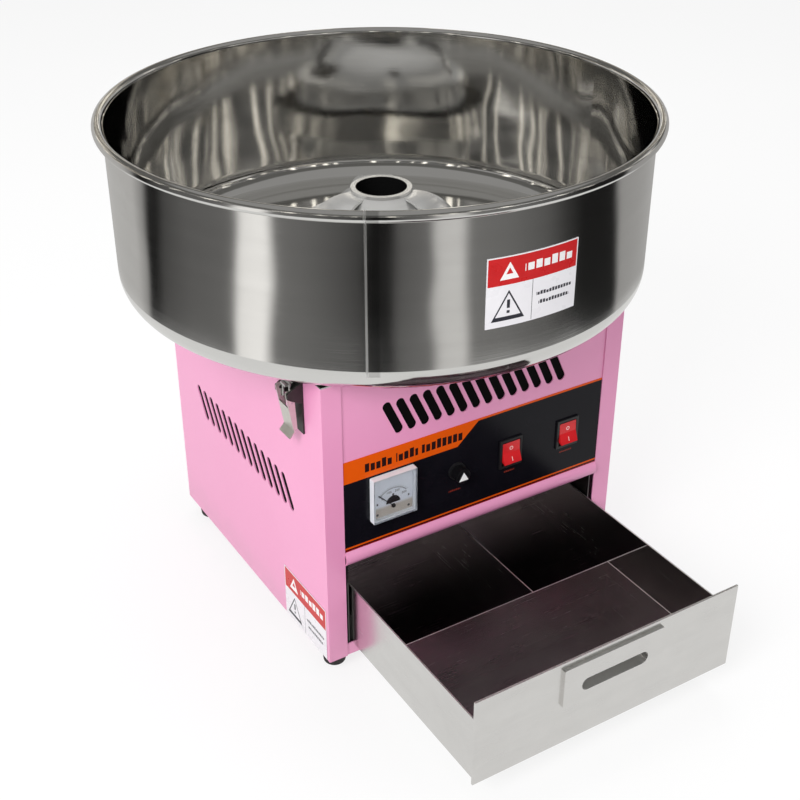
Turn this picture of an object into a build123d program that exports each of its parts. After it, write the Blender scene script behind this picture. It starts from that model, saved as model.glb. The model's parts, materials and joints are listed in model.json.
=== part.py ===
from build123d import *
import math
import os

os.makedirs("parts", exist_ok=True)

# Cotton candy machine: a sheet-steel cabinet on four rubber feet, a round bowl latched on top with a spinning
# head in its middle, and an open drawer in the front. Millimetres. Heights are above the floor. Distances to
# the side, the front and the back are measured from the spin axis.

# ---- Driving sizes: cabinet
body_half_width = 162.9
body_front = 172.8
body_back = 151.5
body_height = 299.2
sheet = 1.2
strip_width = 19.3  # front return of each side panel
rear_flange_width = 15.0
pan_height = 13.4
plate_hole_radius = 60.0

# ---- Feet
foot_height = 18.0
foot_radius = 12.5
foot_toe_radius = 10.5
foot_toe_round = 3.0
foot_inset_side = 15.9
foot_inset_end = 20.5
foot_screw_radius = 2.5
foot_screw_head_radius = 4.6
foot_screw_head = 3.5
foot_counterbore = 7.0

# ---- Bowl
rim_beyond_cabinet = 97.1
rim_bead_radius = 4.8
rim_overhang = 9.0  # the rim beyond the wall
bowl_depth = 167.0
bowl_corner = 26.0
bowl_hole_margin = 14.5  # around the spinning head
bowl_lip = 18.3

# ---- Ventilation slots, one punch for every panel
vent_length = 38.0
vent_width = 8.7
vent_count = 14
front_vent_pitch = 13.75
front_vent_lean = 25.0
front_vent_centre_x = -2.6
front_vent_drop = 51.7
side_vent_pitch = 14.4
side_vent_lean = 31.0
side_vent_centre_y = -6.5
side_vent_centre_z = 171.5

# ---- Drawer
drawer_open = 205.9  # how far the drawer stands open at rest
drawer_opening_height = 92.6
drawer_plate = 2.0
drawer_plate_gap = 0.6
drawer_side_gap = 1.8
drawer_plate_margin = 4.1  # the plate beyond the box
drawer_wall_drop = 25.4  # from the plate's top to the walls' top
drawer_back_gap = 26.3  # behind the closed drawer
divider_sheet = 1.0
divider_headroom = 1.0
divider_foot = 10.0
cross_divider_back = 111.1  # from the plate's back face
front_divider_x = 87.7
rear_divider_x = 0.5
runner_gap = 0.6
runner_rest_gap = 0.3
runner_foot_width = 16.0
runner_web_height = 29.5
bay_clearance = 4.2  # drawer opening's top to the bay's ceiling
bay_end_gap = 0.4
bay_back_gap = 9.1

# ---- Drawer handle
handle_plate = 3.0
handle_width = 108.0
handle_height = 41.0
handle_centre_x = 0.5
handle_drop = 26.9
grip_length = 72.0
grip_height = 13.0
grip_centre_x = 2.0
grip_drop = 4.5
grip_depth = 16.0
grip_wall = 1.2
grip_cutout_gap = 0.3

# ---- Lip and control overlay on the front panel
lip_height = 15.0
lip_bulge = 4.2
overlay = 0.4
overlay_height = 96.4
controls_rise = 48.0

# ---- Voltmeter
meter_x = -93.6
meter_width = 46.0
meter_height = 47.0
meter_cover_depth = 7.0
meter_cover_wall = 1.2
meter_barrel_radius = 19.0
meter_barrel_length = 31.0
meter_seat = 1.0
meter_seat_gap = 0.2
dial_sheet = 0.5
pivot_drop = 12.0
pivot_radius = 0.7
pivot_length = 2.6
needle_length = 22.0
needle_width = 0.8
needle_sheet = 0.4
needle_hub_radius = 2.0
needle_hub = 1.2
needle_rest_angle = 45.0
needle_gap = 0.3

# ---- Fuse
fuse_x = -24.0
fuse_tube_wall = 2.4
fuse_tube_length = 40.0
fuse_link_radius = 3.0
fuse_link_length = 30.0
fuse_bore_gap = 1.0
fuse_bezel_lip = 2.4
fuse_bezel = 2.6
fuse_cap_radius = 7.4
fuse_cap_length = 9.8
fuse_cap_socket = 5.0
fuse_cap_groove = 0.5
fuse_cap_grooves = 18
fuse_cap_round = 1.0
fuse_cap_gap = 0.3

# ---- Rocker switches
heat_switch_x = 37.0
motor_switch_x = 104.0
bezel_lip = 1.0
bezel = 2.0
rocker_width = 19.5
rocker_half_height = 11.0
rocker_end_rise = 5.0
rocker_mid_rise = 3.2
rocker_back = 4.0
rocker_back_half_height = 6.0
rocker_tilt = 12.0
rocker_side_gap = 0.4
rocker_end_gap = 1.9
rocker_pivot_depth = 3.0
rocker_pin_radius = 1.4
rocker_pin_engagement = 0.8
switch_wall = 1.6
switch_depth = 22.0
cutout_gap = 0.1

# ---- Motor, its bracket and the brush gear
mount_height = 14.0
bracket_sheet = 2.0
bracket_margin_x = 15.0  # around the rubber mounts' centres
bracket_margin_y = 12.0
bracket_bore_radius = 10.0
mount_x = 60.0
mount_y = 40.0
mount_radius = 8.0
motor_radius = 44.0
motor_wall = 3.0
motor_length = 110.0
end_bell = 15.0
armature_gap = 4.0
armature_end_gap = 7.0
spindle_radius = 6.0
spindle_tail = 20.0
ring_radius = 16.0
ring_rise = 2.0
ring_width = 8.0
ring_gap = 3.0
sleeve_radius = 12.5
sleeve_margin = 1.6
brush = 5.0
brush_gap = 0.3
brush_length = 14.0
brush_slot_gap = 0.1
holder_gap = 4.0
holder_length = 26.0
holder_width = 18.0
holder_height = 24.0
fan_hub_radius = 12.0
fan_hub = 10.0
fan_blade_length = 36.0
fan_blade_chord = 15.0
fan_blade_sheet = 1.2
fan_blade_pitch = 28.0
fan_blade_root = 1.0
fan_blades = 6

# ---- Spinning head
head_radius = 77.5
head_clearance = 2.5  # above the lip around the bowl's hole
head_base = 3.0
head_hub_radius = 14.0
head_hub_rise = 12.0
band_height = 21.0
head_ring = 4.0
head_ring_width = 13.0
lid_hole_radius = 24.0
lid_rim_radius = 29.25
lid_rise = 41.0
lid_rim = 3.0
lid_tube_wall = 2.0
lid_tube_length = 53.0
cone_foot_radius = 52.0
cone_drop = 22.0
cone_wall = 2.0
leg_first_angle = 64.5
leg_width_angle = 42.0
leg_wall = 2.5
leg_crown_inset = 18.5
leg_crown_drop = 9.0
leg_count = 3
post_radius = 3.5
post_inset = 9.0
band_inset = 2.0
band_wall = 1.0
band_slots = 60
band_slot_width = 1.6
band_slot_height = 14.0
heater_inset = 19.5
heater_radius = 2.5
insulator_radius = 4.0
insulator_height = 8.0
lid_screw_radius = 1.5
lid_screw_head_radius = 2.8
lid_screw_head = 1.8
lid_screw_depth = 8.0

# ---- Bowl latches, two on each side
latch_front_inset = 43.0
latch_rear_inset = 36.5
latch_plate_half_width = 11.5
latch_plate = 1.5
latch_plate_below = 41.0
latch_plate_above = 17.0
pivot_out = 11.5  # lever pivot, out from the side panel
latch_pivot_drop = 20.0
latch_pin_radius = 1.5
bail_out = 10.0
bail_pivot_drop = 8.0
bail_radius = 1.2
bail_half_width = 6.5
bail_bend = 1.5
lever_half_width = 9.5
lever_sheet = 1.2
ear_gap = 0.4
ear_sheet = 1.5
keeper_half_width = 4.5
keeper_sheet = 2.0
keeper_out = 4.0
keeper_reach = 13.5
keeper_drop = 13.6
hook_gap = 0.3
ear_foot_half_height = 11.0
ear_half_height = 5.0
ear_nose = 3.8
ear_nose_half_height = 2.5
# Profiles of the lever's side walls and of its thumb plate, each point (out, up) from the lever's pivot
lever_wall_profile = ((-3.5, 4.5), (3.0, 4.5), (4.6, 2.5), (-1.8, -35.0), (-5.5, -35.0), (-3.9, -7.0))
thumb_plate_profile = ((2.1, -12.5), (-2.1, -37.0), (2.9, -42.6), (1.9, -43.5), (-3.4, -37.4), (0.9, -12.5))

# ---- Mains inlet, terminal block and screws
inlet_x = 95.0
inlet_z = 175.0
inlet_body_width = 27.6
inlet_body_height = 20.6
inlet_flange_width = 50.0
inlet_flange_height = 25.0
inlet_flange = 3.0
inlet_depth = 22.0
socket_width = 24.4
socket_height = 16.6
socket_depth = 16.0
inlet_pin_width = 2.0
inlet_pin_height = 4.0
inlet_pin_spread = 7.0
inlet_screw_spread = 20.0
terminal_x = 88.0
terminal_y = 96.0
terminal_length = 50.0
terminal_width = 20.0
terminal_height = 17.0
screw_radius = 1.9
screw_head_radius = 3.6
screw_head = 2.2
screw_length = 5.0
screw_heights = (60.0, 165.0, 290.0)

running_fit = 0.05  # radial clearance of a pin or a shaft in its hole
punch = 20.0  # length of a cutter that only has to pass through a sheet

# ---- Heights and places that follow from the sizes above
pan_floor = foot_height + sheet
pan_top = foot_height + pan_height
body_top = foot_height + body_height
plate_underside = body_top - sheet
rim_top = body_top + bowl_depth
rim_radius = body_half_width + rim_beyond_cabinet
bowl_radius = rim_radius - rim_overhang
bowl_hole_radius = head_radius + bowl_hole_margin
front_vent_centre_z = body_top - front_vent_drop
drawer_opening_top = pan_top + drawer_opening_height
inner_half_width = body_half_width - sheet
opening_half_width = body_half_width - strip_width
panel_face = body_front - sheet  # the front panel lies behind the strips
overlay_face = panel_face + overlay
overlay_foot = drawer_opening_top + lip_height
controls_z = overlay_foot + controls_rise
back_face = body_back - sheet
drawer_plate_half_width = opening_half_width - drawer_side_gap
drawer_box_half_width = drawer_plate_half_width - drawer_plate_margin
drawer_length = body_front + body_back - drawer_plate - drawer_back_gap
drawer_floor = pan_top + drawer_plate_gap
drawer_plate_top = drawer_opening_top - drawer_plate_gap
drawer_face = body_front + drawer_open
drawer_box_front = drawer_face - drawer_plate
drawer_box_back = drawer_box_front - drawer_length
drawer_wall_top = drawer_plate_top - drawer_wall_drop
handle_centre_z = drawer_plate_top - handle_drop
grip_centre_z = handle_centre_z - grip_drop
bay_half_width = drawer_box_half_width + runner_gap + sheet
bay_ceiling = drawer_opening_top + bay_clearance
runner_top = drawer_floor - runner_rest_gap
fuse_bore_radius = fuse_link_radius + fuse_bore_gap
fuse_tube_radius = fuse_bore_radius + fuse_tube_wall
fuse_bezel_radius = fuse_tube_radius + fuse_bezel_lip
switch_body_width = rocker_width + 2 * (rocker_side_gap + switch_wall)
switch_body_height = 2 * (rocker_half_height + rocker_end_gap + switch_wall)
bezel_width = switch_body_width + 2 * bezel_lip
bezel_height = switch_body_height + 2 * bezel_lip
bracket_top = plate_underside - mount_height
bracket_half_width = mount_x + bracket_margin_x
bracket_half_depth = mount_y + bracket_margin_y
armature_radius = motor_radius - motor_wall - armature_gap
armature_length = motor_length - 2 * (end_bell + armature_end_gap)
holder_start = ring_radius + holder_gap
motor_top = bracket_top - bracket_sheet
motor_foot = motor_top - motor_length
spindle_foot = motor_foot - spindle_tail
ring_foot = bracket_top + ring_rise
head_base_z = body_top + bowl_lip + head_clearance
head_floor = head_base_z + head_base
head_ring_z = head_floor + band_height
lid_top_z = head_ring_z + lid_rise
lid_tube_foot_z = lid_top_z - lid_tube_length
cone_foot_z = lid_top_z - cone_drop
band_radius = head_radius - band_inset
post_ring_radius = head_radius - post_inset
heater_ring_radius = head_radius - heater_inset
leg_foot_radius = band_radius
leg_crown_radius = leg_foot_radius - leg_crown_inset
leg_crown_z = lid_top_z - leg_crown_drop
latch_front = latch_front_inset - body_front
latch_rear = body_back - latch_rear_inset
pivot_z = body_top - latch_pivot_drop
bail_z = pivot_z - bail_pivot_drop
keeper_tongue_z = body_top - keeper_drop

# The origin is on the floor, in the middle of the footprint with the drawer open.
axis_y = (drawer_face + handle_plate - rim_radius) / 2
spin_axis = Axis((0, axis_y, 0), (0, 0, 1))


def level(height):
    """Horizontal plane at a height, centred on the spin axis."""
    return Plane(origin=(0, axis_y, height), x_dir=(1, 0, 0), z_dir=(0, 0, 1))


def front_at(distance):
    """Upright plane facing the front, its sketch in (across, height)."""
    return Plane(origin=(0, axis_y - distance, 0), x_dir=(1, 0, 0), z_dir=(0, -1, 0))


def side_at(distance):
    """Upright plane facing +X, its sketch in (depth, height)."""
    return Plane(origin=(distance, axis_y, 0), x_dir=(0, 1, 0), z_dir=(1, 0, 0))


def radial_at(angle):
    """Upright half plane through the spin axis at an angle, its sketch in (radius, height)."""
    turn = math.radians(angle)
    outward = (math.cos(turn), math.sin(turn), 0)
    return Plane(origin=(0, axis_y, 0), x_dir=outward, z_dir=(outward[1], -outward[0], 0))


def latch_at(side, depth):
    """Upright plane across a latch, its sketch in (out from the side panel, height)."""
    return Plane(origin=(side * body_half_width, axis_y + depth, 0), x_dir=(side, 0, 0), z_dir=(0, -side, 0))


def block(across, depth, height, mode=Mode.ADD):
    """Box between two limits in each direction."""
    centre = (sum(across) / 2, axis_y + sum(depth) / 2, sum(height) / 2)
    with Locations(centre):
        Box(abs(across[1] - across[0]), abs(depth[1] - depth[0]), abs(height[1] - height[0]), mode=mode)


def rod(centre, radius, height, mode=Mode.ADD):
    """Upright cylinder between two heights."""
    with Locations((centre[0], axis_y + centre[1], sum(height) / 2)):
        Cylinder(radius, height[1] - height[0], mode=mode)


def pin_along_y(centre, radius, depth, mode=Mode.ADD):
    """Cylinder along Y between two depths, centred at (across, height)."""
    with Locations((centre[0], axis_y + sum(depth) / 2, centre[1])):
        Cylinder(radius, depth[1] - depth[0], rotation=(90, 0, 0), mode=mode)


def save(piece, name):
    """Label a finished piece and write it."""
    piece.part.label = name
    export_step(piece.part, f"parts/{name}.step")


# ======== Cabinet ========

foot_places = [
    (side * (body_half_width - foot_inset_side), end)
    for side in (-1, 1)
    for end in (foot_inset_end - body_front, body_back - foot_inset_end)
]

with BuildPart() as base_pan:
    block((-inner_half_width, inner_half_width), (-panel_face, back_face - sheet), (foot_height, pan_top))
    block(
        (sheet - inner_half_width, inner_half_width - sheet),
        (sheet - panel_face, back_face - 2 * sheet),
        (pan_floor, pan_top),
        mode=Mode.SUBTRACT,
    )
    for place in foot_places:
        rod(place, foot_screw_radius + cutout_gap, (foot_height, pan_floor), mode=Mode.SUBTRACT)
save(base_pan, "base_pan")

flange_screw_places = [
    (side * (body_half_width - rear_flange_width / 2), height) for side in (-1, 1) for height in screw_heights
]
for side, name in ((-1, "left_side_panel"), (1, "right_side_panel")):
    outer = side * body_half_width
    with BuildPart() as side_panel:
        height = (foot_height, plate_underside)
        block((outer, side * inner_half_width), (-body_front, body_back), height)
        block((outer, side * opening_half_width), (-body_front, -panel_face), height)
        block((outer, outer - side * rear_flange_width), (back_face, body_back), height)
        with BuildSketch(side_at(outer)):
            with Locations((side_vent_centre_y, side_vent_centre_z)):
                with GridLocations(side_vent_pitch, 0, vent_count, 1):
                    SlotOverall(vent_length, vent_width, rotation=90 - side_vent_lean)
        extrude(amount=punch / 2, both=True, mode=Mode.SUBTRACT)
        for place in flange_screw_places:
            if place[0] * side > 0:
                pin_along_y(place, screw_radius + cutout_gap, (back_face, body_back), mode=Mode.SUBTRACT)
    save(side_panel, name)


def cut_controls():
    """Cut the holes for the meter, the fuse and the two switches through whatever is being built."""
    depth = (-panel_face - punch / 4, -panel_face + punch / 4)
    pin_along_y((meter_x, controls_z), meter_barrel_radius + cutout_gap, depth, mode=Mode.SUBTRACT)
    pin_along_y((fuse_x, controls_z), fuse_tube_radius + cutout_gap, depth, mode=Mode.SUBTRACT)
    half_width = switch_body_width / 2 + cutout_gap
    half_height = switch_body_height / 2 + cutout_gap
    for x in (heat_switch_x, motor_switch_x):
        across = (x - half_width, x + half_width)
        block(across, depth, (controls_z - half_height, controls_z + half_height), mode=Mode.SUBTRACT)


with BuildPart() as front_panel:
    height = (overlay_foot, plate_underside)
    block((-inner_half_width, inner_half_width), (-panel_face, sheet - panel_face), height)
    lip_middle = drawer_opening_top + lip_height / 2
    lip_half_width = opening_half_width - cutout_gap
    with BuildSketch(side_at(-lip_half_width)):
        with BuildLine():
            ThreePointArc(
                (-panel_face, overlay_foot),
                (-panel_face - lip_bulge, lip_middle),
                (-panel_face, drawer_opening_top),
            )
            Line((-panel_face, drawer_opening_top), (sheet - panel_face, drawer_opening_top))
            ThreePointArc(
                (sheet - panel_face, drawer_opening_top),
                (sheet - panel_face - lip_bulge, lip_middle),
                (sheet - panel_face, overlay_foot),
            )
            Line((sheet - panel_face, overlay_foot), (-panel_face, overlay_foot))
        make_face()
    extrude(amount=2 * lip_half_width)
    cut_controls()
    with BuildSketch(front_at(panel_face)):
        with Locations((front_vent_centre_x, front_vent_centre_z)):
            with GridLocations(front_vent_pitch, 0, vent_count, 1):
                SlotOverall(vent_length, vent_width, rotation=90 + front_vent_lean)
    extrude(amount=punch / 2, both=True, mode=Mode.SUBTRACT)
save(front_panel, "front_panel")

with BuildPart() as control_overlay:
    overlay_depth = (-overlay_face, -panel_face)
    block((-lip_half_width, lip_half_width), overlay_depth, (overlay_foot, overlay_foot + overlay_height))
    cut_controls()
save(control_overlay, "control_overlay")

inlet_screw_places = [(inlet_x + side * inlet_screw_spread, inlet_z) for side in (-1, 1)]
with BuildPart() as back_panel:
    panel_depth = (back_face - sheet, back_face)
    block((-inner_half_width, inner_half_width), panel_depth, (foot_height, plate_underside))
    half_width = inlet_body_width / 2 + cutout_gap
    half_height = inlet_body_height / 2 + cutout_gap
    block(
        (inlet_x - half_width, inlet_x + half_width),
        panel_depth,
        (inlet_z - half_height, inlet_z + half_height),
        mode=Mode.SUBTRACT,
    )
    with BuildSketch(front_at(-back_face)):
        with Locations((-front_vent_centre_x, front_vent_centre_z)):
            with GridLocations(front_vent_pitch, 0, vent_count, 1):
                SlotOverall(vent_length, vent_width, rotation=90 - front_vent_lean)
    extrude(amount=punch / 2, both=True, mode=Mode.SUBTRACT)
    for place in flange_screw_places + inlet_screw_places:
        pin_along_y(place, screw_radius + cutout_gap, panel_depth, mode=Mode.SUBTRACT)
save(back_panel, "back_panel")

with BuildPart() as top_plate:
    block((-body_half_width, body_half_width), (-body_front, body_back), (plate_underside, body_top))
    rod((0, 0), plate_hole_radius, (plate_underside, body_top), mode=Mode.SUBTRACT)
save(top_plate, "top_plate")

bay_depth = (bay_end_gap + sheet - panel_face, back_face - 2 * sheet - bay_back_gap)
with BuildPart() as drawer_bay:
    outer = bay_half_width + sheet
    block((-outer, outer), bay_depth, (pan_floor, bay_ceiling + sheet))
    block((-bay_half_width, bay_half_width), bay_depth, (pan_floor, bay_ceiling), mode=Mode.SUBTRACT)
save(drawer_bay, "drawer_bay")

with BuildPart() as drawer_runners:
    depth = (bay_depth[0] + 2 * sheet, bay_depth[1] - bay_back_gap)
    web = bay_half_width - sheet
    for side in (-1, 1):
        foot_z = runner_top - sheet
        block((side * bay_half_width, side * web), depth, (foot_z, foot_z + runner_web_height))
        block((side * bay_half_width, side * (web - runner_foot_width)), depth, (foot_z, runner_top))
save(drawer_runners, "drawer_runners")

with BuildPart() as rubber_feet:
    for place in foot_places:
        with Locations((place[0], axis_y + place[1], foot_height / 2)):
            Cone(foot_toe_radius, foot_radius, foot_height)
    fillet(rubber_feet.edges().group_by(Axis.Z)[0], foot_toe_round)
    for place in foot_places:
        rod(place, foot_screw_radius + cutout_gap, (0, foot_height), mode=Mode.SUBTRACT)
        rod(place, foot_screw_head_radius + cutout_gap, (0, foot_counterbore), mode=Mode.SUBTRACT)
save(rubber_feet, "rubber_feet")

with BuildPart() as foot_screws:
    for place in foot_places:
        rod(place, foot_screw_head_radius, (foot_counterbore - foot_screw_head, foot_counterbore))
        rod(place, foot_screw_radius, (foot_counterbore, pan_floor + 2 * sheet))
save(foot_screws, "foot_screws")

with BuildPart() as panel_screws:
    for face, places in ((body_back, flange_screw_places), (back_face + inlet_flange, inlet_screw_places)):
        for place in places:
            pin_along_y(place, screw_head_radius, (face, face + screw_head))
            pin_along_y(place, screw_radius, (face - screw_length, face))
save(panel_screws, "panel_screws")

# ======== Mains inlet and terminal block ========

with BuildPart() as inlet_socket:
    half_width = inlet_flange_width / 2
    half_height = inlet_flange_height / 2
    flange_depth = (back_face, back_face + inlet_flange)
    height = (inlet_z - half_height, inlet_z + half_height)
    block((inlet_x - half_width, inlet_x + half_width), flange_depth, height)
    half_width = inlet_body_width / 2
    half_height = inlet_body_height / 2
    body_depth = (back_face - inlet_depth, back_face)
    height = (inlet_z - half_height, inlet_z + half_height)
    block((inlet_x - half_width, inlet_x + half_width), body_depth, height)
    half_width = socket_width / 2
    half_height = socket_height / 2
    socket_floor = back_face + inlet_flange - socket_depth
    block(
        (inlet_x - half_width, inlet_x + half_width),
        (socket_floor, back_face + inlet_flange),
        (inlet_z - half_height, inlet_z + half_height),
        mode=Mode.SUBTRACT,
    )
    for place in inlet_screw_places:
        pin_along_y(place, screw_radius + cutout_gap, flange_depth, mode=Mode.SUBTRACT)
    for x, z in ((-inlet_pin_spread, 0), (0, inlet_pin_height), (inlet_pin_spread, 0)):
        across = (inlet_x + x - inlet_pin_width / 2, inlet_x + x + inlet_pin_width / 2)
        height = (inlet_z + z - inlet_pin_height / 2, inlet_z + z + inlet_pin_height / 2)
        block(across, (socket_floor - sheet, back_face), height)
save(inlet_socket, "inlet_socket")

with BuildPart() as terminal_block:
    across = (terminal_x - terminal_length / 2, terminal_x + terminal_length / 2)
    depth = (terminal_y - terminal_width / 2, terminal_y + terminal_width / 2)
    floor = bay_ceiling + sheet
    block(across, depth, (floor, floor + terminal_height))
    with Locations((terminal_x, axis_y + terminal_y, floor + terminal_height)):
        with GridLocations(terminal_length / 4, 0, 4, 1):
            Hole(screw_head_radius, depth=terminal_height / 2)
save(terminal_block, "terminal_block")

# ======== Voltmeter ========

seat_half_width = meter_width / 2 - meter_cover_wall - meter_seat_gap
seat_half_height = meter_height / 2 - meter_cover_wall - meter_seat_gap
seat_across = (meter_x - seat_half_width, meter_x + seat_half_width)
seat_height = (controls_z - seat_half_height, controls_z + seat_half_height)
dial_back = overlay_face + meter_seat
dial_face = dial_back + dial_sheet
needle_pivot = (meter_x, controls_z - pivot_drop)

with BuildPart() as meter_case:
    block(seat_across, (-dial_back, -overlay_face), seat_height)
    barrel_depth = (-overlay_face, meter_barrel_length - overlay_face)
    pin_along_y((meter_x, controls_z), meter_barrel_radius, barrel_depth)
    pin_along_y(needle_pivot, pivot_radius, (-dial_back - pivot_length, -dial_back))
save(meter_case, "meter_case")

with BuildPart() as meter_dial:
    block(seat_across, (-dial_face, -dial_back), seat_height)
    pin_along_y(needle_pivot, pivot_radius + running_fit, (-dial_face, -dial_back), mode=Mode.SUBTRACT)
save(meter_dial, "meter_dial")

with BuildPart() as meter_window:
    half_width = meter_width / 2
    half_height = meter_height / 2
    across = (meter_x - half_width, meter_x + half_width)
    height = (controls_z - half_height, controls_z + half_height)
    block(across, (-overlay_face - meter_cover_depth, -overlay_face), height)
    fillet(meter_window.edges().filter_by(Axis.Y), meter_cover_wall)
    fillet(meter_window.faces().sort_by(Axis.Y)[0].edges(), meter_cover_wall / 2)
    block(
        (across[0] + meter_cover_wall, across[1] - meter_cover_wall),
        (meter_cover_wall - overlay_face - meter_cover_depth, -overlay_face),
        (height[0] + meter_cover_wall, height[1] - meter_cover_wall),
        mode=Mode.SUBTRACT,
    )
save(meter_window, "meter_window")

needle_back = dial_face + needle_gap
with BuildPart() as meter_needle:
    hub_depth = (-needle_back - needle_hub, -needle_back)
    pin_along_y(needle_pivot, needle_hub_radius, hub_depth)
    with BuildSketch(front_at(needle_back + needle_sheet)):
        with Locations(Location((*needle_pivot, 0), (0, 0, 90 + needle_rest_angle))):
            with Locations((needle_length / 2, 0)):
                Rectangle(needle_length, needle_width)
    extrude(amount=needle_sheet)
    pin_along_y(needle_pivot, pivot_radius + running_fit, hub_depth, mode=Mode.SUBTRACT)
save(meter_needle, "meter_needle")

# ======== Fuse ========

fuse_centre = (fuse_x, controls_z)
bezel_face = overlay_face + fuse_bezel
cap_back = bezel_face + fuse_cap_gap
link_front = cap_back + fuse_cap_socket
with BuildPart() as fuse_holder:
    pin_along_y(fuse_centre, fuse_bezel_radius, (-bezel_face, -overlay_face))
    pin_along_y(fuse_centre, fuse_tube_radius, (-overlay_face, fuse_tube_length - overlay_face))
    bore_depth = (-bezel_face, fuse_tube_length - overlay_face - sheet)
    pin_along_y(fuse_centre, fuse_bore_radius, bore_depth, mode=Mode.SUBTRACT)
save(fuse_holder, "fuse_holder")

with BuildPart() as fuse_cap:
    pin_along_y(fuse_centre, fuse_cap_radius, (-cap_back - fuse_cap_length, -cap_back))
    fillet(fuse_cap.faces().sort_by(Axis.Y)[0].edges(), fuse_cap_round)
    with BuildSketch(front_at(cap_back)):
        with Locations(fuse_centre):
            with PolarLocations(fuse_cap_radius + fuse_cap_groove / 2, fuse_cap_grooves):
                Circle(fuse_cap_groove)
    extrude(amount=fuse_cap_length, mode=Mode.SUBTRACT)
    socket_depth_range = (-link_front, -cap_back)
    pin_along_y(fuse_centre, fuse_link_radius + running_fit, socket_depth_range, mode=Mode.SUBTRACT)
save(fuse_cap, "fuse_cap")

with BuildPart() as fuse_link:
    pin_along_y(fuse_centre, fuse_link_radius, (-link_front, fuse_link_length - link_front))
save(fuse_link, "fuse_link")

# ======== Rocker switches ========

switch_face = overlay_face + bezel
rocker_pivot = switch_face - rocker_pivot_depth
for x, name in ((heat_switch_x, "heat"), (motor_switch_x, "motor")):
    with BuildPart() as switch_frame:
        height = (controls_z - bezel_height / 2, controls_z + bezel_height / 2)
        block((x - bezel_width / 2, x + bezel_width / 2), (-switch_face, -overlay_face), height)
        height = (controls_z - switch_body_height / 2, controls_z + switch_body_height / 2)
        across = (x - switch_body_width / 2, x + switch_body_width / 2)
        block(across, (-overlay_face, switch_depth - overlay_face), height)
        height = (height[0] + switch_wall, height[1] - switch_wall)
        across = (across[0] + switch_wall, across[1] - switch_wall)
        block(across, (-switch_face, switch_depth - overlay_face - switch_wall), height, mode=Mode.SUBTRACT)
        with Locations((x, axis_y - rocker_pivot, controls_z)):
            hole_radius = rocker_pin_radius + running_fit
            Cylinder(hole_radius, switch_body_width, rotation=(0, 90, 0), mode=Mode.SUBTRACT)
    save(switch_frame, f"{name}_switch_frame")

    with BuildPart() as rocker:
        tilt = math.radians(rocker_tilt)
        outward = (0, -math.cos(tilt), math.sin(tilt))
        pivot = (x, axis_y - rocker_pivot, controls_z)
        with BuildSketch(Plane(origin=pivot, x_dir=outward, z_dir=(-1, 0, 0))):
            with BuildLine():
                Polyline(
                    (-rocker_back, rocker_back_half_height),
                    (rocker_end_rise, rocker_half_height),
                    (rocker_mid_rise, 0),
                    (rocker_end_rise, -rocker_half_height),
                    (-rocker_back, -rocker_back_half_height),
                    close=True,
                )
            make_face()
        extrude(amount=rocker_width / 2, both=True)
        with Locations(pivot):
            pin_length = rocker_width + 2 * (rocker_side_gap + rocker_pin_engagement)
            Cylinder(rocker_pin_radius, pin_length, rotation=(0, 90, 0))
    save(rocker, f"{name}_rocker")

# ======== Motor and brush gear ========

with BuildPart() as motor_bracket:
    bracket_height = (motor_top, bracket_top)
    across = (-bracket_half_width, bracket_half_width)
    block(across, (-bracket_half_depth, bracket_half_depth), bracket_height)
    rod((0, 0), bracket_bore_radius, bracket_height, mode=Mode.SUBTRACT)
save(motor_bracket, "motor_bracket")

with BuildPart() as motor_mounts:
    with BuildSketch(level(bracket_top)):
        with GridLocations(2 * mount_x, 2 * mount_y, 2, 2):
            Circle(mount_radius)
    extrude(amount=plate_underside - bracket_top)
save(motor_mounts, "motor_mounts")

with BuildPart() as motor_shell:
    shell_height = (motor_foot + end_bell, motor_top - end_bell)
    rod((0, 0), motor_radius, shell_height)
    rod((0, 0), motor_radius - motor_wall, shell_height, mode=Mode.SUBTRACT)
save(motor_shell, "motor_shell")

with BuildPart() as motor_end_bells:
    for height in ((motor_foot, motor_foot + end_bell), (motor_top - end_bell, motor_top)):
        rod((0, 0), motor_radius, height)
        rod((0, 0), spindle_radius + running_fit, height, mode=Mode.SUBTRACT)
save(motor_end_bells, "motor_end_bells")

with BuildPart() as armature:
    motor_middle = (motor_foot + motor_top) / 2
    armature_height = (motor_middle - armature_length / 2, motor_middle + armature_length / 2)
    rod((0, 0), armature_radius, armature_height)
    rod((0, 0), spindle_radius, armature_height, mode=Mode.SUBTRACT)
save(armature, "armature")

lower_ring = (ring_foot, ring_foot + ring_width)
upper_ring = (ring_foot + ring_width + ring_gap, ring_foot + 2 * ring_width + ring_gap)
with BuildPart() as slip_rings:
    for height in (lower_ring, upper_ring):
        rod((0, 0), ring_radius, height)
        rod((0, 0), sleeve_radius, height, mode=Mode.SUBTRACT)
save(slip_rings, "slip_rings")

with BuildPart() as ring_insulator:
    sleeve_height = (lower_ring[0] - sleeve_margin, upper_ring[1] + sleeve_margin)
    rod((0, 0), sleeve_radius, sleeve_height)
    rod((0, 0), spindle_radius, sleeve_height, mode=Mode.SUBTRACT)
save(ring_insulator, "ring_insulator")

brush_places = ((1, sum(lower_ring) / 2), (-1, sum(upper_ring) / 2))
with BuildPart() as brush_holders:
    for side, height in brush_places:
        half_slot = brush / 2 + brush_slot_gap
        across = (side * holder_start, side * (holder_start + holder_length))
        block(across, (-holder_width / 2, holder_width / 2), (bracket_top, bracket_top + holder_height))
        across = (side * holder_start, side * (ring_radius + brush_gap + brush_length))
        block(across, (-half_slot, half_slot), (height - half_slot, height + half_slot), mode=Mode.SUBTRACT)
save(brush_holders, "brush_holders")

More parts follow.
